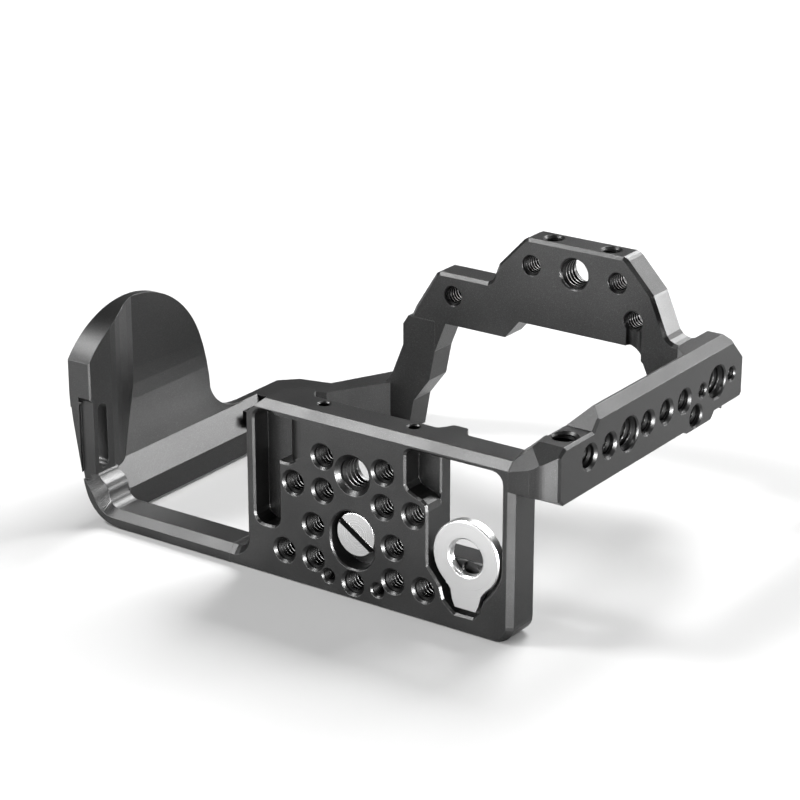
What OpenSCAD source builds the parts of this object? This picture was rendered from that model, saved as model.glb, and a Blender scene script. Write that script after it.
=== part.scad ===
// Full-frame cage for a photo camera: a drilled base plate, a side bar with a
// row of threaded holes, a band round the hand grip and a bridge over the
// viewfinder.  It lies on its back: +Z is the lens axis, +Y the camera's top,
// +X the side bar.  The origin is the fixing screw's axis at the camera seat.

/* [Base plate] */
// Thickness of the base plate, which is also how far the origin lies above it
base_t = 10.8; // [9:0.1:13]
// Rear rim of the whole cage, below the lens axis
rim_z = 18.8; // [16:0.1:22]
// Front of the lip in front of the camera
lip_z = 32.9; // [30:0.1:36]
// Left edge of the base plate, beside the battery opening
base_l = 36.25; // [34:0.05:38]
// Right edge of the base plate
base_r = 51.3; // [50:0.1:54]
// Floor depth of the two pockets below the outer face
pocket_d = 6.5; // [5:0.1:7.5]
// Floor depth of the seat for the flat key
key_seat_d = 3.5; // [3:0.1:4.5]
// Width of the broken edges round pockets and outlines
rim_w = 0.6; // [0.3:0.1:1]

/* [Side bar] */
// Outer face of the side bar
bar_x = 62.69; // [61:0.1:65]
// Inner face of the side bar
bar_in = 55.2; // [54:0.1:57]
// Far end of the side bar
bar_end = 102.6; // [95:0.1:106]
// Top of the side bar's ridge
ridge_z = 43.2; // [41:0.1:46]
// Height of the row of threaded holes
row_z = 31.57; // [30:0.1:33]

/* [Bridge] */
// Inner face of the bridge over the viewfinder
bridge_y = 112.4; // [110:0.1:116]
// Outer face of the bridge
bridge_top = 121.9; // [119:0.1:124]

/* [Grip band] */
// Outer face of the grip band
band_x = 101.0; // [98:0.1:104]
// Wall of the grip band where it is thinnest
band_wall = 2.6; // [2:0.1:4]

/* [Threads] */
// Radius of the quarter-inch threaded holes
r14 = 3.175; // [3.1:0.005:3.25]
// Radius of the three-eighths threaded holes
r38 = 4.7625; // [4.7:0.0025:4.85]
// Radius of the small holes beside them
r_small = 1.9; // [1.5:0.1:2.3]
// Chamfer radius of the quarter-inch holes
c14 = 3.9; // [3.5:0.05:4.1]
// Chamfer radius of the three-eighths holes
c38 = 6.0; // [5.5:0.05:6.4]
// Chamfer radius of the three-eighths holes in the bar and the bridge
c38_thin = 5.15; // [4.9:0.05:6]
// Chamfer radius of the quarter-inch holes in the bridge
c14_thin = 3.36; // [3.2:0.02:3.8]

/* [Fixing screw and key] */
// Radius of the slotted head
head_r = 6.5; // [6:0.1:7]
// Radius of the counterbore round the head
cbore_r = 7.3; // [7:0.05:8]
// How far the screw reaches past the camera seat
screw_reach = 5.3; // [4.5:0.1:6]
// Angle of the screw's slot, seen from outside
slot_a = -33; // [-90:1:90]
// How far the counterbore runs on towards the rear
cbore_run = 2.35; // [0:0.05:3]
// Depth of the head's face below the base's outer face
head_y = 1.5; // [1:0.1:2.5]
// Outer radius of the key's ring
key_r = 10.5; // [9:0.1:11]
// Radius of the hole in the key's ring
key_hole = 5.2; // [4.5:0.1:6]

/* [Hidden] */
fn = 48;
e = 0.02;
black = [0.08, 0.08, 0.085];
steel = [0.78, 0.78, 0.77];
dark = [0.12, 0.12, 0.12];
rubber = [0.05, 0.05, 0.05];
kx = 36.4;
kz = 2.7;
web0 = 5.4;
web1 = 7.0;
half_y = (bridge_y + bridge_top) / 2;
ms = 1.25;
mh = 1.9;
m3 = 1.5;
m3h = 2.75;
leg_z0 = 16;
leg_z1 = 29.3;
lap_y = 5.6;

// ---- helpers -------------------------------------------------------------
module place() translate([0, -base_t, 0]) children();
module xz(y0, y1) translate([0, y1, 0]) rotate([90, 0, 0])
    linear_extrude(height = y1 - y0) children();
module yz(x0, x1) translate([x0, 0, 0]) rotate([90, 0, 90])
    linear_extrude(height = x1 - x0) children();
module xy(z0, z1) translate([0, 0, z0]) linear_extrude(height = z1 - z0) children();
module box(a, b) translate(a) cube(b - a);
function arc(cx, cz, r, a0, a1, n) =
    [for (i = [0 : n]) [cx + r * cos(a0 + (a1 - a0) * i / n),
                        cz + r * sin(a0 + (a1 - a0) * i / n)]];

module rod_y(x, z, r, y0, y1) translate([x, y0, z]) rotate([-90, 0, 0])
    cylinder(r = r, h = y1 - y0, $fn = fn);
module rod_x(y, z, r, x0, x1) translate([x0, y, z]) rotate([0, 90, 0])
    cylinder(r = r, h = x1 - x0, $fn = fn);
module rod_z(x, y, r, z0, z1) translate([x, y, z0])
    cylinder(r = r, h = z1 - z0, $fn = fn);

// A through hole with a chamfer at both mouths, along its own +Z
module hole(r, c, h) {
    translate([0, 0, -e]) cylinder(r = r, h = h + 2 * e, $fn = fn);
    translate([0, 0, -e]) cylinder(r1 = c + e, r2 = r, h = c - r + e, $fn = fn);
    translate([0, 0, h - (c - r)]) cylinder(r1 = r, r2 = c + e, h = c - r + e, $fn = fn);
}
module hole_y(x, z, r, c, y0, y1) translate([x, y0, z]) rotate([-90, 0, 0]) hole(r, c, y1 - y0);
module hole_x(y, z, r, c, x0, x1) translate([x0, y, z]) rotate([0, 90, 0]) hole(r, c, x1 - x0);
// A blind hole sunk from the plane z1 downwards
module blind_z(x, y, r, c, z1, d) {
    rod_z(x, y, r, z1 - d, z1 + e);
    translate([x, y, z1 - (c - r)]) cylinder(r1 = r, r2 = c + e, h = c - r + e, $fn = fn);
}

// Breaks the edge that runs along p (in X and Z) on a face at Y = 0 whose
// material lies to the right of that direction
function nrm(a, b) = [b[1] - a[1], a[0] - b[0]] / norm(b - a);
function miter(p, i, closed) = let(n = len(p),
    u = (i == 0 && !closed) ? nrm(p[0], p[1]) : nrm(p[(i + n - 1) % n], p[i]),
    v = (i == n - 1 && !closed) ? u : nrm(p[i], p[(i + 1) % n]))
    (u + v) / (1 + u * v);
module wedge(p, w, closed = false, q = 0.2) {
    n = len(p);
    m = [for (i = [0 : n - 1]) miter(p, i, closed)];
    pts = [for (i = [0 : n - 1]) for (c = [[-q, -q], [w + q, -q], [-q, w + q]])
        [p[i][0] + m[i][0] * c[0], c[1], p[i][1] + m[i][1] * c[0]]];
    sides = [for (i = [0 : n - (closed ? 1 : 2)]) for (k = [0 : 2])
        let(j = (i + 1) % n, l = (k + 1) % 3) [3 * i + k, 3 * j + k, 3 * j + l, 3 * i + l]];
    ends = closed ? [] : [[0, 1, 2], [3 * n - 3, 3 * n - 1, 3 * n - 2]];
    polyhedron(pts, concat(sides, ends));
}
module run(p, w) wedge(p, w);
module ring(p, w) wedge(p, w, true);
// The same on a face that looks along +X, with points in Y and Z
module run_x(x, p, w) translate([x, 0, 0]) rotate([0, 0, 90]) wedge(p, w);

// The same on a face that looks along +Z at height z, with points in X and Y
module run_z(z, p, w) translate([0, 0, z]) rotate([-90, 0, 0]) wedge(p, w);
// A slope from the line p at Y = 0 down to the line q, whose points lie as far
// below Y = 0 as d says
module slope(p, q, d) {
    n = len(p);
    pts = [for (i = [0 : n - 1]) let(a = p[i] + (p[i] - q[i]) * 0.15, b = q[i] + (q[i] - p[i]) * 0.15)
        each [[b[0], -1, b[1]], [a[0], -0.15 * d[i], a[1]], [b[0], 1.15 * d[i], b[1]]]];
    sides = [for (i = [0 : n - 2]) for (k = [0 : 2]) let(l = (k + 1) % 3)
        each [[3 * i + k, 3 * i + 3 + k, 3 * i + 3 + l], [3 * i + k, 3 * i + 3 + l, 3 * i + l]]];
    polyhedron(pts, concat(sides, [[0, 1, 2], [3 * n - 3, 3 * n - 1, 3 * n - 2]]));
}

// Removes what lies above the plane through o that rises by a along X and b along Y
module above(o, a, b) translate(o) rotate([asin(b / sqrt(1 + a * a + b * b)), -atan(a), 0])
    box([-16, -16, 0], [16, 16, 20]);
// A smooth curve through the points of p, with n steps from each to the next
function smooth(p, n) = let(m = len(p) - 1) concat([for (i = [0 : m - 1])
    let(a = p[max(i - 1, 0)], b = p[i], c = p[i + 1], d = p[min(i + 2, m)])
    for (t = [0 : 1 / n : 1 - 0.5 / n])
        b + (c - a) * t / 2 + (a - 2.5 * b + 2 * c - d / 2) * t * t + (1.5 * (b - c) + (d - a) / 2) * t * t * t], [p[m]]);
function flip(p) = [for (i = [len(p) - 1 : -1 : 0]) p[i]];

// ---- base plate ----------------------------------------------------------
base_outline = concat(
    [[-43, -rim_z], [base_r - 5, -rim_z]],
    arc(base_r - 5, -rim_z + 5, 5, -80, 0, 6),
    [[base_r, 25], [49.75, 25], [49.75, lip_z], [-30.9, lip_z], [-base_l, 28]],
    flip(arc(-base_l - 5, -8.6, 5, -90, 0, 5)),
    [[-43, -13.6]]);

left_pocket = concat(
    arc(-28, -0.8, 3, -90, 0, 4), arc(-28, 27, 3, 0, 90, 4),
    arc(-30.4, 27, 3, 90, 180, 4), arc(-30.4, -0.8, 3, 180, 270, 4));

right_pocket = concat(
    [[33.6, -13.8], [39.2, -13.7], [40.9, -12.1], [42.2, -8.3], [43.9, -6.3]],
    arc(kx, kz, 11.5, -38, 0, 5),
    arc(44.4, 26.1, 3.5, 0, 90, 4), arc(19.4, 27.6, 2, 90, 180, 3),
    [[17.4, 19.3], [18.2, 18], [21.2, 16.7], [22.8, 16.35], [24.3, 15.1],
     [24.6, 13.1], [24.6, 0.8], [24.7, -2.2], [27.3, -5.3], [28.9, -7.4],
     [29.8, -10.7], [32.2, -12.9]]);

module tab(s) scale([s, 1, 1]) xy(27.2, lip_z)
    polygon([[19.6, 10.6], [20.6, 11.1], [21.8, 12.6], [22.9, 14.6], [23.6, 14.9],
             [27, 14.9], [27.7, 14.6], [28.7, 12.7], [29.8, 11.2], [30.8, 10.6]]);

// The chamfer's width and the points at radius r on the plate's rear right corner
function edge_w(i) = 1.67 - 0.9 * pow(i / 6, 2);
function corner(i, r) = [base_r - 5 + r * cos(i * 40 / 3), -rim_z + 5 - r * sin(i * 40 / 3)];

module base_plate() color(black) place() difference() {
    union() {
        intersection() {
            yz(-50, 60) polygon([[0, -rim_z], [0, 30.75], [2.3, lip_z],
                                 [base_t, lip_z], [base_t, -rim_z]]);
            xz(-1, base_t + 1) polygon(base_outline);
        }
        tab(1);
        mirror([1, 0, 0]) tab(1);
        box([49.7, lap_y, 25.6], [58.4, base_t, 30.6]);
        // start of the foot's slope on the end of the lip
        polyhedron([[49.75, 2.4, 32.4], [49.75, base_t, 32.4], [47.8, base_t, 32.4],
                    [49.75, 2.4, lip_z], [49.75, base_t, 34.5], [47.8, base_t, lip_z]],
            [[0, 2, 1], [3, 4, 5], [0, 1, 4, 3], [1, 2, 5, 4], [2, 0, 3, 5]]);
    }
    // right-hand vertical edge, which tapers round the corner into the rear edge
    slope([[base_r - edge_w(0), 25.1], each [for (i = [0 : 6]) corner(i, 5 - edge_w(i))], [base_r - 5, -rim_z + rim_w], [-44, -rim_z + rim_w]],
          [[base_r, 25.1], each [for (i = [0 : 6]) corner(i, 5)], [base_r - 5, -rim_z], [-44, -rim_z]],
          [edge_w(0), each [for (i = [0 : 6]) edge_w(i)], rim_w, rim_w]);
    // the strip's slope
    slope([[-43.5, -15.8], each [for (i = [0 : 6]) [-base_l - 5 + (7.2 - 0.27 * i) * sin(15 * i), -8.6 - (7.2 - 0.27 * i) * cos(15 * i)]]],
          [[-43.5, -13.6], each [for (i = [0 : 6]) [-base_l - 5 + 5 * sin(15 * i), -8.6 - 5 * cos(15 * i)]]],
          [2.2, for (i = [0 : 6]) 2.2 - 0.27 * i]);
    run([[-base_l, -8.6], [-base_l, 28.3]], 0.55);
    // lap for the grip frame
    box([-43 - 1, lap_y, -18.2], [-30, base_t + 1, -13.9]);
    // left pocket and its scoop
    xz(-1, pocket_d) polygon(left_pocket);
    ring(left_pocket, rim_w);
    intersection() {
        xy(16, 31) polygon(concat([[-26.5, -1], [-17, -1]],
            smooth([[-17, 0], [-18.6, 0.45], [-20.6, 1.6], [-22.4, 3.1], [-23.9, 4.9], [-25.1, pocket_d]], 3), [[-26.5, pocket_d]]));
        xz(-2, 8) polygon(concat([[-27, 16.3]],
            smooth([[-23.6, 16.3], [-21.6, 16.5], [-20.1, 17.2], [-18.7, 18.4], [-17.4, 19.3], [-16.9, 20.5]], 3), [[-16.9, 29.6], [-27, 29.6]]));
    }
    run(smooth([[-25, 16.3], [-23.6, 16.3], [-21.6, 16.5], [-20.1, 17.2], [-19.2, 17.95]], 2), 0.6);
    // right pocket, shelf and window
    xz(-1, key_seat_d) polygon(right_pocket);
    ring(right_pocket, rim_w);
    xz(key_seat_d - e, pocket_d) polygon(concat(
        [[24.6, 0.9], [47.9, 0.9]], arc(44.4, 26.1, 3.5, 0, 90, 4),
        arc(19.4, 27.6, 2, 90, 180, 3),
        [[17.4, 19.3], [18.2, 18], [21.2, 16.7], [22.8, 16.35], [24.3, 15.1], [24.6, 13.1]]));
    xz(pocket_d - e, base_t + 1) polygon(concat(
        [[24.6, 0.9], [47.9, 0.9]], arc(44.4, 26.1, 3.5, 0, 90, 4), [[24.6, 29.6]]));
    translate([0, pocket_d, 0]) run([[24.6, 29.5], [24.6, 16.4]], 0.5);
    translate([0, key_seat_d, 0]) run([[27.2, 0.9], [45.6, 0.9]], 0.4);
    // magnet seat
    rod_y(36.2, -1.9, 2.3, key_seat_d - 1, key_seat_d + 3.2);
    translate([36.2, key_seat_d - e, -1.9]) rotate([-90, 0, 0]) cylinder(r1 = 2.7, r2 = 2.3, h = 0.4, $fn = fn);
    // threaded holes
    for (s = [-1, 1]) {
        hole_y(s * 10, 21, r14, c14, 0, base_t);
        hole_y(s * 10, 11, r14, c14, 0, base_t);
        hole_y(s * 20, 11, r14, c14, 0, base_t);
        hole_y(s * 13.3, 0, r14, c14, 0, base_t);
        hole_y(s * 13.3, -9.9, r14, c14, 0, base_t);
        hole_y(s * 23.3, -9.9, r14, c14, 0, base_t);
        hole_y(s * 8.27, -13.8, r_small, 2.4, 0, base_t);
        blind_z(s * 14.85, 7.8, 1.6, 2.0, lip_z, 6.8);
    }
    hole_y(0, -13.9, r14, c14, 0, base_t);
    hole_y(0, 17.8, r38, c38, 0, base_t);
    // fixing screw, in a counterbore that runs on towards the rear
    for (z = [0, -cbore_run]) {
        rod_y(0, z, cbore_r, -1, web0);
        translate([0, -e, z]) rotate([-90, 0, 0]) cylinder(r1 = cbore_r + 0.45 + e, r2 = cbore_r, h = 0.45 + e, $fn = fn);
    }
    box([-cbore_r, -1, -cbore_run], [cbore_r, web0, 0]);
    for (k = [-1, 1]) translate([k * cbore_r, 0, -cbore_run]) linear_extrude(height = cbore_run)
        polygon([[0, -e], [k * (0.45 + e), -e], [0, 0.45]]);
    rod_y(0, 0, 3.4, web0 - 1, base_t);
    rod_y(0, 0, 6.6, web1, base_t + 1);
    // joint screws
    for (x = [52.4, 56.8]) {
        rod_y(x, 28.1, ms + 0.1, lap_y - 1, base_t);
        rod_y(x, 28.1, mh + 0.1, 8.9, base_t + 1);
    }
    for (x = [-39.5, -33]) rod_y(x, -16.05, ms, 2, lap_y + 1);
    // seats for the pads
    box([-34.6, base_t - 0.6, -11], [-27.4, base_t + 1, 19]);
    box([28, base_t - 0.6, -16.8], [47, base_t + 1, -8.4]);
}

// ---- side bar ------------------------------------------------------------
bar_bottom = [[0, 25], [4.7, 23.5], [7, 21.7], [70, 21.7], [72, 20.8],
              [84.75, 20.8], [86.65, 22.9], [101.4, 22.9], [bar_end, 24.1]];
bar_top = [[bar_end, 35.04], [94.4, ridge_z], [25.3, ridge_z], [20.9, 37.9], [0, 37.9]];

module side_bar() color(black) place() difference() {
    union() {
        intersection() {
            yz(50, bar_x) polygon(concat(bar_bottom, bar_top));
            xy(10, 60) polygon(concat([[50.2, 0]], arc(55.3, 7.2, 7.2, -90, -45, 8),
                [[62.3, 4.02], [bar_x, 4.95], [bar_x, bar_end], [bar_in, bar_end], [bar_in, 24],
                 [54.2, 21], [53.6, 11.5], [53.6, 10.8], [50.2, 10.8]]));
        }
        intersection() {
            yz(49.75, 56) polygon([[0, 25], [4.7, 23.5], [7, 21.7], [base_t, 21.7], [base_t, 37.9], [0, 37.9]]);
            xz(-1, 12) polygon([[49.75, 20], [56, 20], [56, 37.9], [53.6, 37.9], [49.75, 34.5]]);
        }
    }
    // sloped top of the foot, which fans out from the lip's front edge
    above([55, 3, 35.4], 0, 0.6);
    above([49.74, 2.57, lip_z], 0.88, 0.195);
    above([50, 0, 30.75], 0.3, 0.935);
    // long inner slope beside the ridge
    intersection() {
        xz(12, 80) polygon([[53.2, 37], [59.4, ridge_z], [60.4, ridge_z + 1], [52, ridge_z + 1], [52, 37]]);
        xy(30, 60) polygon([[50, 12], [61, 12], [60.6, 25], [60.4, 71.9], [59.4, 73.3], [54.8, 77.9], [50, 77.9]]);
    }
    // outer slope of the ridge, small edge in front of it
    translate([0, 25.3, 0]) xz(-4.4 + 0.9, 80) polygon([[bar_x + 1, ridge_z - 3.6], [bar_x + 1, ridge_z + 1], [bar_x - 3.6, ridge_z + 1]]);
    run_x(bar_x, [[4.2, 36.12], [7.16, 37.9], [20.9, 37.9], [23.4, 40.9]], 0.7);
    run_x(bar_x, [[94.4, ridge_z], [bar_end, 35.04], [bar_end, 24.1]], 0.7);
    run_x(bar_x, flip([[4.47, 23.68], [7, 21.7], [70, 21.7], [72, 20.8], [84.75, 20.8], [86.65, 22.9], [101.4, 22.9], [bar_end, 24.1]]), rim_w);
    // lap for the base plate
    box([49, lap_y, 25.6], [58.4, base_t + 0.01, 30.6]);
    box([49, -1, 19], [base_r, base_t + 0.3, 25]);
    for (x = [52.4, 56.8]) rod_y(x, 28.1, ms, 1.9, lap_y + 1);
    // threaded holes
    for (y = [19.1, 29.1, 49.0, 59.0, 69.0]) hole_x(y, row_z, r14, c14, y < 21 ? 54.2 : bar_in, bar_x);
    for (y = [39.1, 87.4]) hole_x(y, row_z, r38, c38_thin, bar_in, bar_x);
    for (y = [79.1, 95.7]) hole_x(y, row_z, r_small, 2.4, bar_in, bar_x);
    hole_x(75.8, 25.0, r14, 3.7, bar_in, bar_x);
    blind_z(57.9, 14, r14, c14, 37.9, 9);
    // joint screws
    for (y = [93.8, 99.8]) rod_x(y, 25.9, m3, bar_in - 1, 60.5);
}

// ---- grip frame ----------------------------------------------------------
band_out = [[-80, -rim_z], [-84, -18.75], [-87.3, -18.25], [-89.65, -17.5], [-91.8, -16.2], [-93.6, -14.6],
            [-95, -12.7], [-96, -10.6], [-96.9, -7.6], [-97.6, -4.2], [-98.5, 1.2], [-99.4, 6.4],
            [-100.2, 11.2], [-100.7, 15.5], [-band_x, 20], [-band_x, 60]];
// wall of the opening in the corner, from the front round to the strip
bay_hi = [[-97.0, -4.2], [-96.2, -6.2], [-94.6, -8.7], [-93.1, -10.9], [-92.2, -12.6], [-91.0, -14.1],
          [-89.3, -15.2], [-87.3, -15.7], [-85.8, -15.8]];
bay_lo = [[-93.0, -4.2], [-92.6, -5.1], [-91.4, -6.2], [-90.2, -7.0], [-89.3, -8.6], [-89.0, -10.4],
          [-88.5, -12.0], [-87.3, -13.15], [-85.8, -13.6]];

module band_trim() xz(-2, 130) polygon(concat(band_out, [[-40, 60], [-40, -rim_z]]));

module grip_frame() color(black) place() difference() {
    union() {
        // strip behind the battery opening
        yz(-82, -43) polygon([[0, -rim_z], [0, -13.6], [base_t, -13.6], [base_t, -rim_z]]);
        box([-43.1, lap_y, -18.2], [-30, base_t, -13.9]);
        // corner and side wall
        intersection() {
            band_trim();
            union() {
                xz(0, base_t) polygon(concat([[-80, -rim_z], [-103, -rim_z], [-103, -4.2]],
                    smooth(bay_lo, 3), [[-80, -13.6]]));
                // thin wall that follows the outside, and its run-out at the back
                intersection() {
                    xz(10, 75) polygon(concat([for (i = [8 : len(band_out) - 1]) band_out[i]],
                        [for (i = [len(band_out) - 1 : -1 : 8]) band_out[i] + [band_wall, 0]]));
                    union() {
                        translate([-103, 26, 9.75]) rotate([0, 90, 0]) cylinder(r = 33, h = 12, $fn = 160);
                        yz(-103, -91) polygon(concat([[40, -7.5], [40, 8]],
                            smooth([[58.4, 5.4], [59.3, 2.4], [61.2, -0.2], [64.2, -2.3], [68, -3.5], [73, -3.9]], 3), [[73, -7.5]]));
                    }
                    box([-103, 9, -7.5], [-91, 76, 50]);
                }
                intersection() {
                    xy(-5, 50) polygon([[-103, 0], [-103, 80], [-band_x + band_wall, 80],
                        [-band_x + band_wall, 32], [-99.2, 27.8], [-97, 21.5], [-94.6, 15.6], [-93.6, 12.5], [-93.0, 9.5], [-93.0, 0]]);
                    translate([-103, 26, 9.75]) rotate([0, 90, 0]) cylinder(r = 33, h = 12, $fn = 160);
                    box([-103, 0, -5], [-92, 40, 50]);
                }
                // post at the rear corner
                xz(base_t - 0.1, 80) polygon([[-103, -rim_z], [-103, -3.9], [-95.2, -3.9], [-91.2, -7.9],
                    [-88.5, -10.6], [-88.5, -rim_z]]);
            }
        }
    }
    // edges
    run([[-42.9, -rim_z], [-80, -rim_z]], 0.4);
    run([for (i = [0 : 13]) band_out[i]], 0.3);
    // slope round the opening
    slope(concat(smooth(bay_hi, 3), [[-42.5, -15.8]]), concat(smooth(bay_lo, 3), [[-42.5, -13.6]]),
          [for (i = [0 : 25]) 2.2]);
    // recessed strap bar and the slot behind it
    difference() {
        box([-97.6, -1, -6.2], [-90, 1.0, 18.2]);
        translate([-97.6, 1, 18.2]) rotate([90, 0, 0]) cylinder(r = 1.2, h = 3, $fn = 24);
    }
    translate([-94.4, 0, 18]) rotate([0, 0, 0]) linear_extrude(height = 3.6) polygon([[0.9, -1], [3, -1], [3, 1.4]]);
    translate([-97.6, 0, 17.8]) rotate([90, 0, 90]) linear_extrude(height = 8)
        polygon([[-1, 2.6], [1, 0.2], [1, 0], [-1, 0]]);
    run([[-93.0, 60], [-93.0, 18]], 0.5);
    box([-104, 2.8, -0.95], [-90, 6.9, 14.95]);
    rod_x(4.85, -0.95, 2.05, -104, -90);
    rod_x(4.85, 14.95, 2.05, -104, -90);
    // lap for the top rail
    box([-91.5, 68, -16], [-86, 81, -5]);
    for (y = [71, 77]) rod_x(y, -10.5, ms, -94.5, -90);
    rod_x(74, -14.2, 1, -93, -90);
    // joint screws
    for (x = [-39.5, -33]) {
        rod_y(x, -16.05, ms + 0.1, lap_y - 1, base_t);
        rod_y(x, -16.05, 1.9, 8.9, base_t + 1);
    }
}

// ---- bridge --------------------------------------------------------------
bridge_front = concat([[47, leg_z1], [35.8, leg_z1]], [[34.2, 29.6], [32.8, 30.3], [31.8, 31.4]],
    [[27.2, 42.1], [26.9, 42.9], [18.3, 52.0], [17.5, 52.6], [16.4, 53],
     [-16.4, 53], [-17.5, 52.6], [-18.3, 52.0], [-26.9, 42.9], [-27.2, 42.1], [-28.6, 38.4], [-29.4, 37.2], [-30.8, 36.4],
     [-48.6, 36.4], [-49.9, 35.6], [-57.6, 23.4], [-62, 14]]);
bridge_back = [[-62, 10], [-50, 10], [-46, 20], [-24, 20], [-19, 26], [19, 26], [24.5, 21.5],
               [27, leg_z0], [47, leg_z0]];

module bridge_plate() color(black) place() difference() {
    xz(bridge_y, bridge_top) polygon(concat(bridge_front, bridge_back));
    // inner and outer front edges
    translate([0, bridge_y, 0]) run(flip([for (i = [1 : len(bridge_front) - 1]) bridge_front[i]]), 1.0);
    translate([0, bridge_top, 0]) mirror([0, 1, 0]) run(flip([for (i = [1 : len(bridge_front) - 1]) bridge_front[i]]), rim_w);
    // channel below the right-hand hole
    rod_z(21.1, bridge_y, 2.6, 20, 31.5);
    // laps for the leg and the rail
    box([36, bridge_y - 1, leg_z0 - 1], [48, half_y, leg_z1 + 1]);
    box([-63, bridge_y - 1, 9], [-50, half_y, 20]);
    // threaded holes
    for (s = [-1, 1]) {
        hole_y(s * 15, 44.65, r14, c14_thin, bridge_y, bridge_top);
        blind_z(s * 10, 117.1, 2.6, 3.3, 53, 3.2);
    }
    hole_y(0, 44.65, r38, c38_thin, bridge_y, bridge_top);
    hole_y(20.7, 33.85, r14, c14_thin, bridge_y, bridge_top);
    hole_y(-43.3, 29.5, r14, c14_thin, bridge_y, bridge_top);
    // joint screws and pins
    for (x = [39.2, 44.2]) {
        rod_y(x, x < 40 ? 24.9 : 20.4, m3 + 0.1, half_y - 1, bridge_top);
        rod_y(x, x < 40 ? 24.9 : 20.4, m3h + 0.1, bridge_top - 2, bridge_top + 1);
    }
    for (p = [[38.6, 18.6], [44.6, 26.4]]) rod_y(p[0], p[1], 1, half_y - 1, bridge_top - 1.3);
    for (x = [-58.6, -53.2]) {
        rod_y(x, x < -55 ? 16.9 : 13.2, m3 + 0.1, half_y - 1, bridge_top);
        rod_y(x, x < -55 ? 16.9 : 13.2, 2.6, bridge_top - 2, bridge_top + 1);
    }
    rod_y(-53, 18.2, 1, half_y - 1, bridge_top - 1.3);
}

module bridge_leg() color(black) place() difference() {
    union() {
        xy(leg_z0, leg_z1) polygon([[36, bridge_y], [43, bridge_y], [47.7, 103], [47.7, 91],
            [bar_in, 91], [bar_in, 104.5], [47.4, bridge_top], [47, bridge_top], [47, half_y], [36, half_y]]);
    }
    // clear of the bar's underside
    box([47.7 + 4, 90, leg_z0 - 1], [57, 106, 20.0]);
    for (y = [93.8, 99.8]) {
        rod_x(y, 25.9, m3 + 0.1, 46, 57);
        rod_x(y, 25.9, m3h + 0.1, 46, 50.2);
    }
    for (x = [39.2, 44.2]) rod_y(x, x < 40 ? 24.9 : 20.4, m3, bridge_y + 0.7, bridge_top);
    for (p = [[38.6, 18.6], [44.6, 26.4]]) rod_y(p[0], p[1], 1, bridge_y + 1.3, bridge_top);
}

// ---- rail from the wing to the band --------------------------------------
module top_rail() color(black) place() difference() {
    union() {
        xz(bridge_y, half_y) polygon([[-62, 10], [-50, 10], [-50, 20], [-60, 20], [-62, 17]]);
        xz(bridge_y, bridge_top) polygon([[-62, 10], [-50, 10], [-52, 0], [-58, -8], [-60, -rim_z], [-72, -rim_z],
            [-72, -8], [-66, 0]]);
        intersection() {
            band_trim();
            union() {
                xy(-rim_z, -3.9) polygon([[-60, bridge_top], [-72, bridge_top], [-82, 101.2], [-92.5, 98.6],
                    [-102, 89], [-102, 80], [-88.5, 80], [-88.5, 87.4], [-86.8, 90.2], [-78, 93.4], [-67, bridge_y], [-60, bridge_y]]);
                box([-91.5, 68, -16], [-88.5, 81, -5]);
            }
        }
    }
    for (x = [-58.6, -53.2]) rod_y(x, x < -55 ? 16.9 : 13.2, m3, bridge_y + 0.7, bridge_top);
    rod_y(-53, 18.2, 1, bridge_y + 1.3, bridge_top);
    for (y = [71, 77]) {
        rod_x(y, -10.5, ms + 0.1, -93, -87);
        rod_x(y, -10.5, mh + 0.1, -90, -87);
    }
    rod_x(74, -14.2, 1, -92, -89.3);
}

// ---- fixing screw, clip, key ---------------------------------------------
module camera_screw() color(steel) place() difference() {
    union() {
        rod_y(0, 0, head_r, head_y, web0);
        rod_y(0, 0, 2.6, web0 - e, 9.4);
        rod_y(0, 0, 2.0, 9.4 - e, 10.3 + e);
        rod_y(0, 0, r14, 10.3, base_t + screw_reach);
    }
    translate([0, head_y, 0]) rotate([0, -slot_a, 0]) box([-8, -1, -0.9], [8, 1.8, 0.9]);
    translate([0, head_y - e, 0]) rotate([-90, 0, 0]) difference() {
        translate([0, 0, -1]) cylinder(r = head_r + 1, h = 1.4, $fn = fn);
        translate([0, 0, -1 - e]) cylinder(r1 = head_r - 1.42, r2 = head_r + 0.02, h = 1.42, $fn = fn);
    }
    translate([0, base_t + screw_reach - 0.8, 0]) rotate([-90, 0, 0]) difference() {
        cylinder(r = r14 + 1, h = 2, $fn = fn);
        translate([0, 0, -e]) cylinder(r1 = r14 + e, r2 = r14 - 0.82, h = 0.8 + 2 * e, $fn = fn);
    }
}

module screw_clip() color(steel) place() difference() {
    rod_y(0, 0, 5.6, 9.45, 10.25);
    rod_y(0, 0, 2.05, 9, 11);
    box([-1.6, 9, -8], [1.6, 11, 0]);
    rod_y(-4.4, 2.6, 0.7, 9, 11);
    rod_y(4.4, 2.6, 0.7, 9, 11);
}

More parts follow.
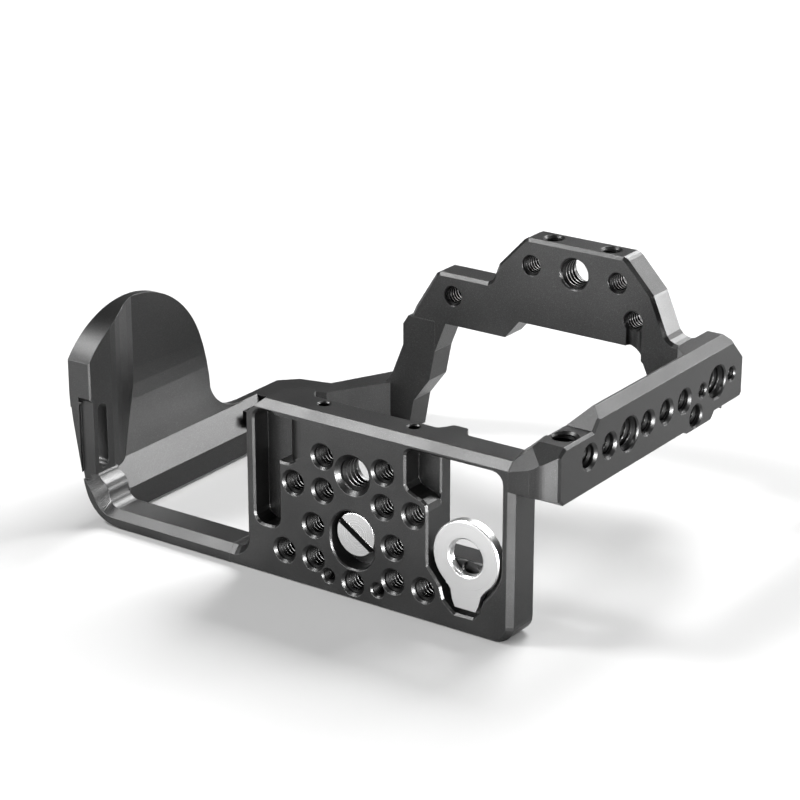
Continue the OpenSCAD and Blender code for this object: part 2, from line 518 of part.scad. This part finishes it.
module flat_key() color(steel) place() difference() {
    union() {
        rod_y(kx, kz, key_r, 0.7, key_seat_d);
        xz(0.7, key_seat_d) polygon([[30.2, -5.4], [31.7, -7.3], [32.2, -10.2], [33.1, -12.2],
            [39.7, -12.2], [40.6, -10.2], [41.3, -7.3], [42.6, -5.4], [42.6, -2], [30.2, -2]]);
    }
    hole_y(kx, kz, key_hole, key_hole + 0.5, 0.7, key_seat_d);
    // the tip is thinned from behind so that it enters the slot
    translate([30, 0, 0]) rotate([90, 0, 90]) linear_extrude(height = 14)
        polygon([[key_seat_d + 1, -7.2], [key_seat_d + 0.01, -7.2], [2.4, -9.6], [2.4, -13], [key_seat_d + 1, -13]]);
    translate([kx, 0.7 - e, kz]) rotate([-90, 0, 0]) difference() {
        translate([0, 0, -1]) cylinder(r = key_r + 1, h = 1.4, $fn = 72);
        translate([0, 0, -1 - e]) cylinder(r1 = key_r - 1.42, r2 = key_r + 0.02, h = 1.42, $fn = 72);
        translate([-6.2, 5, -2]) cube([12.4, 8, 4]);
    }
}

module key_magnet() color(steel) place() rod_y(36.2, -1.9, 2.3, key_seat_d + 1.2, key_seat_d + 3.2);

module seat_pads() color(rubber) place() {
    box([-34.6, base_t - 0.6, -11], [-27.4, base_t, 19]);
    box([28, base_t - 0.6, -16.8], [47, base_t, -8.4]);
}

// ---- fasteners -----------------------------------------------------------
// A socket screw whose head stands at the origin and whose shank runs to -Z
module socket_screw(r, rh, hh, l, key) difference() {
    union() {
        translate([0, 0, -hh]) cylinder(r = rh, h = hh, $fn = fn);
        translate([0, 0, -hh - l]) cylinder(r = r, h = l + e, $fn = fn);
    }
    translate([0, 0, -hh * 0.6]) cylinder(r = key, h = hh, $fn = 6);
}
module down_y(x, y, z) translate([x, y, z]) rotate([-90, 0, 0]) children();

module bar_screws() color(dark) place()
    for (x = [52.4, 56.8]) down_y(x, 10.7, 28.1) socket_screw(ms, mh, 1.8, 6.8, 1.1);
module frame_screws() color(dark) place()
    for (x = [-39.5, -33]) down_y(x, 10.7, -16.05) socket_screw(ms, 1.8, 1.8, 6.7, 1.0);
module leg_screws() color(dark) place()
    for (y = [93.8, 99.8]) translate([47.9, y, 25.9]) rotate([0, -90, 0]) socket_screw(m3, m3h, 2.3, 10, 1.4);
module bridge_screws() color(dark) place()
    for (x = [39.2, 44.2]) down_y(x, bridge_top - 0.1, x < 40 ? 24.9 : 20.4) socket_screw(m3, m3h, 1.9, 5.8, 1.4);
module bridge_pins() color(steel) place()
    for (p = [[38.6, 18.6], [44.6, 26.4]]) rod_y(p[0], p[1], 1, bridge_y + 1.4, bridge_top - 1.4);
module wing_screws() color(dark) place()
    for (x = [-58.6, -53.2]) down_y(x, bridge_top - 0.1, x < -55 ? 16.9 : 13.2) socket_screw(m3, 2.5, 1.9, 5.8, 1.3);
module wing_pins() color(steel) place()
    rod_y(-53, 18.2, 1, bridge_y + 1.4, bridge_top - 1.4);
module band_screws() color(dark) place()
    for (y = [71, 77]) translate([-88.6, y, -10.5]) rotate([0, 90, 0]) socket_screw(ms, mh, 1.4, 4.3, 1.1);
module band_pins() color(steel) place()
    rod_x(74, -14.2, 1, -92.9, -89.4);

base_plate();
side_bar();
grip_frame();
bridge_plate();
bridge_leg();
top_rail();
camera_screw();
screw_clip();
flat_key();
key_magnet();
seat_pads();
bar_screws();
frame_screws();
leg_screws();
bridge_screws();
bridge_pins();
wing_screws();
wing_pins();
band_screws();
band_pins();
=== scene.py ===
import math

import bmesh
import bpy
from mathutils import Matrix, Vector


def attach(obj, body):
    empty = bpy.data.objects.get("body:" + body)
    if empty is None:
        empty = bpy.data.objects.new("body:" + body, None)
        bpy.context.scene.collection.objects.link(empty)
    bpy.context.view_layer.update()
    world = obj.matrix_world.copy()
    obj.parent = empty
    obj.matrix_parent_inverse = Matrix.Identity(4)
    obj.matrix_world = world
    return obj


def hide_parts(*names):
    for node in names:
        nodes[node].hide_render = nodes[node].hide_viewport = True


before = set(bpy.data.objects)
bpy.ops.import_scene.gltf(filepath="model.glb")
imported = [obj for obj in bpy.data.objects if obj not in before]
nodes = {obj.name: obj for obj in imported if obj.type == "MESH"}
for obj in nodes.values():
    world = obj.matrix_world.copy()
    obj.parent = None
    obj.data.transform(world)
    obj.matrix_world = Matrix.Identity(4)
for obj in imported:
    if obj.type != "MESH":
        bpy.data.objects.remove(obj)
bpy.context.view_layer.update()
scene = bpy.context.scene
scene.view_settings.view_transform = "Standard"
scene.view_settings.look = "None"

MM = 0.001
BASE_T = 10.8          # the source's base thickness: the frame's Y is 10.8 mm less
FLOOR_Z = -0.0188


# ---- node helpers --------------------------------------------------------
def material(name):
    m = bpy.data.materials.new(name)
    m.use_nodes = True
    m.node_tree.nodes.clear()
    return m, m.node_tree


def add(nt, kind, **values):
    n = nt.nodes.new(kind)
    for k, v in values.items():
        if k in n.inputs:
            n.inputs[k].default_value = v
        else:
            setattr(n, k, v)
    return n


def noise(nt, coords, scale, detail=2.0, rough=0.5):
    n = nt.nodes.new("ShaderNodeTexNoise")
    n.inputs["Scale"].default_value = scale
    n.inputs["Detail"].default_value = detail
    n.inputs["Roughness"].default_value = rough
    nt.links.new(coords, n.inputs["Vector"])
    return n


def ramp(nt, fac, stops):
    r = nt.nodes.new("ShaderNodeValToRGB")
    e = r.color_ramp.elements
    while len(e) > 1:
        e.remove(e[-1])
    e[0].position, e[0].color = stops[0][0], (*[stops[0][1]] * 3, 1)
    for p, v in stops[1:]:
        s = e.new(p)
        s.color = (v, v, v, 1)
    nt.links.new(fac, r.inputs["Fac"])
    return r


def anodised(name, base=0.042, rough=0.34, grain=0.5):
    """Black anodised aluminium over a bead-blasted skin."""
    m, nt = material(name)
    out = add(nt, "ShaderNodeOutputMaterial")
    bsdf = add(nt, "ShaderNodeBsdfPrincipled")
    tc = add(nt, "ShaderNodeTexCoord").outputs["Object"]
    fine = noise(nt, tc, 5200.0, 3.0, 0.6)
    broad = noise(nt, tc, 60.0, 2.0)
    tint = ramp(nt, fine.outputs["Fac"], [(0.3, base * 0.75), (0.6, base * 1.1), (0.72, base * 2.2)])
    nt.links.new(tint.outputs["Color"], bsdf.inputs["Base Color"])
    bsdf.inputs["Metallic"].default_value = 1.0
    r = ramp(nt, broad.outputs["Fac"], [(0.3, rough - 0.03), (0.7, rough + 0.04)])
    nt.links.new(r.outputs["Color"], bsdf.inputs["Roughness"])
    bump = add(nt, "ShaderNodeBump", Strength=grain, Distance=0.00006)
    nt.links.new(fine.outputs["Fac"], bump.inputs["Height"])
    bev = nt.nodes.new("ShaderNodeBevel")
    bev.samples = 4
    bev.inputs["Radius"].default_value = 0.00022
    nt.links.new(bev.outputs["Normal"], bump.inputs["Normal"])
    nt.links.new(bump.outputs["Normal"], bsdf.inputs["Normal"])
    nt.links.new(bsdf.outputs["BSDF"], out.inputs["Surface"])
    return m


def steel(name, base=0.66, rough=0.24, turned=None, bevel=0.0002):
    """Brushed or turned steel; turned gives the axis point of concentric marks."""
    m, nt = material(name)
    out = add(nt, "ShaderNodeOutputMaterial")
    bsdf = add(nt, "ShaderNodeBsdfPrincipled")
    tc = add(nt, "ShaderNodeTexCoord").outputs["Object"]
    if turned is None:
        mp = add(nt, "ShaderNodeMapping")
        mp.inputs["Scale"].default_value = (300.0, 4000.0, 9000.0)
        nt.links.new(tc, mp.inputs["Vector"])
        lines = noise(nt, mp.outputs["Vector"], 1.0, 2.0)
    else:
        sub = add(nt, "ShaderNodeVectorMath", operation="SUBTRACT")
        nt.links.new(tc, sub.inputs[0])
        sub.inputs[1].default_value = turned
        flat = add(nt, "ShaderNodeVectorMath", operation="MULTIPLY")
        nt.links.new(sub.outputs[0], flat.inputs[0])
        flat.inputs[1].default_value = (1, 0, 1)
        ln = add(nt, "ShaderNodeVectorMath", operation="LENGTH")
        nt.links.new(flat.outputs[0], ln.inputs[0])
        comb = add(nt, "ShaderNodeCombineXYZ")
        nt.links.new(ln.outputs["Value"], comb.inputs["X"])
        lines = noise(nt, comb.outputs[0], 6000.0, 2.0)
    c = ramp(nt, lines.outputs["Fac"], [(0.3, base * 0.93), (0.7, base * 1.04)])
    nt.links.new(c.outputs["Color"], bsdf.inputs["Base Color"])
    bsdf.inputs["Metallic"].default_value = 1.0
    r = ramp(nt, lines.outputs["Fac"], [(0.3, rough - 0.03), (0.7, rough + 0.05)])
    nt.links.new(r.outputs["Color"], bsdf.inputs["Roughness"])
    bump = add(nt, "ShaderNodeBump", Strength=0.12, Distance=0.00003)
    nt.links.new(lines.outputs["Fac"], bump.inputs["Height"])
    bev = nt.nodes.new("ShaderNodeBevel")
    bev.samples = 4
    bev.inputs["Radius"].default_value = bevel
    nt.links.new(bev.outputs["Normal"], bump.inputs["Normal"])
    nt.links.new(bump.outputs["Normal"], bsdf.inputs["Normal"])
    nt.links.new(bsdf.outputs["BSDF"], out.inputs["Surface"])
    return m


def rubber(name):
    m, nt = material(name)
    out = add(nt, "ShaderNodeOutputMaterial")
    bsdf = add(nt, "ShaderNodeBsdfPrincipled")
    tc = add(nt, "ShaderNodeTexCoord").outputs["Object"]
    n = noise(nt, tc, 2500.0, 3.0)
    c = ramp(nt, n.outputs["Fac"], [(0.35, 0.012), (0.7, 0.03)])
    nt.links.new(c.outputs["Color"], bsdf.inputs["Base Color"])
    bsdf.inputs["Roughness"].default_value = 0.75
    bump = add(nt, "ShaderNodeBump", Strength=0.3, Distance=0.00005)
    nt.links.new(n.outputs["Fac"], bump.inputs["Height"])
    nt.links.new(bump.outputs["Normal"], bsdf.inputs["Normal"])
    nt.links.new(bsdf.outputs["BSDF"], out.inputs["Surface"])
    return m


BLACK = anodised("black_anodised")
# painted light in the cut threads: the flank copy of the black anodised finish is made darker as painted
# shade, and the crest copy is made lighter as painted highlight, so the thread rings show light and shade in
# colour
FLANK_PAINTED_SHADE = anodised("thread_flank_painted_shade", base=0.011, rough=0.5, grain=0.1)
CREST_PAINTED_HIGHLIGHT = anodised("thread_crest_painted_highlight", base=0.095, rough=0.34, grain=0.1)
STEEL = steel("brushed_steel")
TURNED = steel("turned_steel", turned=(0.0, 0.0, 0.0))
KEY = steel("key_steel", turned=(36.4 * MM, 0.0, 2.7 * MM), base=0.58, rough=0.3)
SHANK = steel("shank_steel", base=0.5, rough=0.3)
SCREW_BLACK = steel("black_oxide", base=0.09, rough=0.3)
RUBBER = rubber("rubber")

looks = {
    "base_plate": BLACK, "side_bar": BLACK, "grip_frame": BLACK, "bridge_plate": BLACK,
    "bridge_leg": BLACK, "top_rail": BLACK, "camera_screw": TURNED, "screw_clip": STEEL,
    "flat_key": KEY, "key_magnet": SCREW_BLACK, "seat_pads": RUBBER, "bar_screws": SCREW_BLACK,
    "frame_screws": SCREW_BLACK, "leg_screws": SCREW_BLACK, "bridge_screws": SCREW_BLACK,
    "bridge_pins": STEEL, "wing_screws": SCREW_BLACK, "wing_pins": STEEL,
    "band_screws": SCREW_BLACK, "band_pins": STEEL,
}
for n, o in nodes.items():
    o.data.materials.clear()
    o.data.materials.append(looks[n])


# ---- cut threads ---------------------------------------------------------
def thread(verts, faces, origin, axis, r_wall, r_crest, pitch, length, steps=30):
    """A helical ridge on the wall of a hole that starts at origin and runs along axis."""
    a = Vector(axis).normalized()
    u = a.orthogonal().normalized()
    v = a.cross(u)
    turns = (length - pitch * 0.9) / pitch
    n = max(2, int(turns * steps))
    start = len(verts)
    for i in range(n + 1):
        ang = 2 * math.pi * i / steps
        z = pitch * 0.45 + pitch * i / steps
        fade = min(1.0, i / (steps * 0.35), (n - i) / (steps * 0.35))
        crest = r_wall - (r_wall - r_crest) * fade
        d = u * math.cos(ang) + v * math.sin(ang)
        for rr, dz in ((r_wall + 0.02 * MM, -0.49), (crest, -0.1), (crest, 0.1), (r_wall + 0.02 * MM, 0.49)):
            verts.append(Vector(origin) + d * rr + a * (z + dz * pitch))
    for i in range(n):
        for k in range(3):
            p = start + i * 4 + k
            faces.append((p, p + 1, p + 5, p + 4))


def piece(name, verts, faces, mat, body="cage", smooth=False, slot="anodised"):
    me = bpy.data.meshes.new(name)
    me.from_pydata([tuple(x) for x in verts], [], faces)
    me.update()
    bm = bmesh.new()
    bm.from_mesh(me)
    bmesh.ops.recalc_face_normals(bm, faces=bm.faces)
    bm.to_mesh(me)
    bm.free()
    o = bpy.data.objects.new(name, me)
    scene.collection.objects.link(o)
    me.materials.append(mat)
    if smooth:
        for p in me.polygons:
            p.use_smooth = True
    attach(o, body)
    return o


def threaded_screw():
    """The fixing screw with a cut thread on its shank, in place of the plain one."""
    src = nodes["camera_screw"]
    me = src.data.copy()
    me.name = "threaded_screw"
    me.transform(src.matrix_world)
    me.materials.clear()
    for m in (TURNED, SCREW_BLACK, SHANK):
        me.materials.append(m)
    bm = bmesh.new()
    bm.from_mesh(me)
    gone = [f for f in bm.faces if min(v.co.y for v in f.verts) > -0.51 * MM]
    bmesh.ops.delete(bm, geom=gone, context="FACES")
    for f in bm.faces:
        c = f.calc_center_median()
        # the slot's floor and flat sides take the dark black-oxide material; the rest of the head keeps the
        # turned steel
        inside = SLOT_FACE + 0.03 * MM < c.y < SLOT_FACE + 1.83 * MM and math.hypot(c.x, c.z) < 6.3 * MM
        flat = abs(f.normal.y) < 0.1 and math.hypot(c.x, c.z) < 6.2 * MM and c.y < SLOT_FACE + 1.85 * MM
        floor = abs(f.normal.y) > 0.9 and abs(c.y - (SLOT_FACE + 1.8 * MM)) < 0.05 * MM
        f.material_index = 1 if floor or (inside and flat) else 0
    pitch, crest, root, n = 1.27, 3.175, 2.52, 40
    lo, hi = -0.5, 5.3
    rows = int((hi - lo) / (pitch / 14))
    ring = []
    for j in range(rows + 1):
        y = lo + (hi - lo) * j / rows
        line = []
        for i in range(n):
            t = (y / pitch - i / n) % 1.0
            depth = min(1.0, max(0.0, (abs(2 * t - 1) - 0.12) / 0.72))
            r = crest - (crest - root) * depth
            r = min(r, crest - max(0.0, y - (hi - 0.8)), root + max(0.0, y - lo) * 1.2)
            ang = 2 * math.pi * i / n
            line.append(bm.verts.new((r * MM * math.cos(ang), y * MM, r * MM * math.sin(ang))))
        ring.append(line)
    for j in range(rows):
        for i in range(n):
            k = (i + 1) % n
            f = bm.faces.new((ring[j][i], ring[j][k], ring[j + 1][k], ring[j + 1][i]))
            f.material_index = 2
    bm.faces.new(ring[0])
    bm.faces.new(ring[-1])
    bmesh.ops.recalc_face_normals(bm, faces=bm.faces)
    bm.to_mesh(me)
    bm.free()
    o = bpy.data.objects.new("threaded_screw", me)
    scene.collection.objects.link(o)
    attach(o, "screw")
    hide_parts("camera_screw")
    return o


SLOT_FACE = (1.5 - BASE_T) * MM
threaded_screw()


def at(x, y, z):
    return Vector((x * MM, (y - BASE_T) * MM, z * MM))


Q = (3.175, 2.62, 1.27, 3.9)       # quarter-inch: wall, crest, pitch, chamfer
QB = (3.175, 2.62, 1.27, 3.36)     # the same in the bridge
T = (4.7625, 3.95, 1.5875, 6.0)    # three-eighths
TB = (4.7625, 3.95, 1.5875, 5.15)   # the same in the bar and the bridge
S = (1.9, 1.62, 0.7, 2.4)          # small


def hole(store, start, axis, length, kind):
    r, rc, pitch, ch = kind
    c = ch - r
    o = start + Vector(axis) * c * MM
    thread(store[0], store[1], o, axis, r * MM, rc * MM, pitch * MM, (length - 2 * c) * MM)


base, bar, bridge = ([], []), ([], []), ([], [])
py, px = (0, 1, 0), (1, 0, 0)
for s in (-1, 1):
    for x, z in ((10, 21), (10, 11), (20, 11), (13.3, 0), (13.3, -9.9), (23.3, -9.9)):
        hole(base, at(s * x, 0, z), py, BASE_T, Q)
hole(base, at(0, 0, -13.9), py, BASE_T, Q)
hole(base, at(0, 0, 17.8), py, BASE_T, T)
for s in (-1, 1):
    hole(base, at(s * 8.27, 0, -13.8), py, BASE_T, S)
for y in (19.1, 29.1, 49.0, 59.0, 69.0):
    x0 = 54.2 if y < 21 else 55.2
    hole(bar, at(x0, y, 31.57), px, 62.69 - x0, Q)
for y in (39.1, 87.4):
    hole(bar, at(55.2, y, 31.57), px, 7.49, TB)
for y in (79.1, 95.7):
    hole(bar, at(55.2, y, 31.57), px, 7.49, S)
hole(bar, at(55.2, 75.8, 25.0), px, 7.49, Q)
thread(bar[0], bar[1], at(57.9, 14, 37.3), (0, 0, -1), 3.175 * MM, 2.62 * MM, 1.27 * MM, 8.3 * MM)
for x, z, k in ((-15, 44.65, QB), (15, 44.65, QB), (0, 44.65, TB), (20.7, 33.85, QB), (-43.3, 29.5, QB)):
    hole(bridge, at(x, 112.4, z), py, 9.5, k)
for x in (-10, 10):
    thread(bridge[0], bridge[1], at(x, 117.1, 52.4), (0, 0, -1), 2.6 * MM, 2.2 * MM, 0.8 * MM, 2.6 * MM)
for name, store in (("threads_base", base), ("threads_bar", bar), ("threads_bridge", bridge)):
    o = piece(name, *store, FLANK_PAINTED_SHADE)
    o.data.materials.append(CREST_PAINTED_HIGHLIGHT)
    for p in o.data.polygons:
        # crest faces take the painted-highlight copy and flank faces take the painted-shade copy
        p.material_index = 1 if p.index % 3 == 1 else 0


# ---- floor, light, camera ------------------------------------------------
def floor_material():
    m, nt = material("pale_floor")
    out = add(nt, "ShaderNodeOutputMaterial")
    bsdf = add(nt, "ShaderNodeBsdfDiffuse")
    bsdf.inputs["Color"].default_value = (0.41, 0.41, 0.41, 1)
    nt.links.new(bsdf.outputs["BSDF"], out.inputs["Surface"])
    return m


me = bpy.data.meshes.new("floor")
me.from_pydata([(-4, -4, FLOOR_Z), (4, -4, FLOOR_Z), (4, 6, FLOOR_Z), (-4, 6, FLOOR_Z)], [], [(0, 1, 2, 3)])
floor = bpy.data.objects.new("floor", me)
me.materials.append(floor_material())
scene.collection.objects.link(floor)

world = bpy.data.worlds.new("studio")
world.use_nodes = True
world.node_tree.nodes["Background"].inputs["Color"].default_value = (1, 1, 1, 1)
world.node_tree.nodes["Background"].inputs["Strength"].default_value = 0.2
scene.world = world

TARGET = Vector((-0.02, 0.05, 0.01))


def softbox(name, direction, distance, width, height, radiance):
    d = Vector(direction).normalized()
    light = bpy.data.lights.new(name, "AREA")
    light.shape = "RECTANGLE"
    light.size, light.size_y = width, height
    light.energy = radiance * math.pi * width * height
    o = bpy.data.objects.new(name, light)
    o.location = TARGET + d * distance
    o.rotation_euler = (-d).to_track_quat("-Z", "Y").to_euler()
    scene.collection.objects.link(o)
    return o


softbox("overhead", (0.02, 0.68, 0.73), 1.5, 0.85, 0.7, 26.0)
softbox("front_top", (-0.535, -0.36, 0.765), 1.3, 0.26, 0.22, 74.0)
softbox("back", (0.38, 0.78, 0.50), 1.4, 0.45, 0.35, 12.0)
softbox("back_low", (0.64, 0.76, 0.10), 1.3, 0.3, 0.22, 60.0)
softbox("right", (0.82, -0.57, -0.01), 1.3, 0.6, 0.16, 330.0)
softbox("front", (-0.50, -0.86, 0.06), 1.2, 1.3, 0.4, 21.0)

# the camera stands where the photograph was taken from
AZ, EL, ROLL = math.radians(35.10166), math.radians(20.77140), math.radians(-0.05418)
back = Vector((math.sin(AZ) * math.cos(EL), -math.cos(AZ) * math.cos(EL), math.sin(EL)))
right = Vector((math.cos(AZ), math.sin(AZ), 0))
up = back.cross(right)
cam = bpy.data.cameras.new("photo_camera")
cam.sensor_width = 36.0
cam.lens = 120.355
cam.clip_start, cam.clip_end = 0.01, 50
camera = bpy.data.objects.new("photo_camera", cam)
camera.matrix_world = Matrix((
    (right.x, up.x, back.x, 0.39294), (right.y, up.y, back.y, -0.54740),
    (right.z, up.z, back.z, 0.29185), (0, 0, 0, 1)))
scene.collection.objects.link(camera)
scene.camera = camera
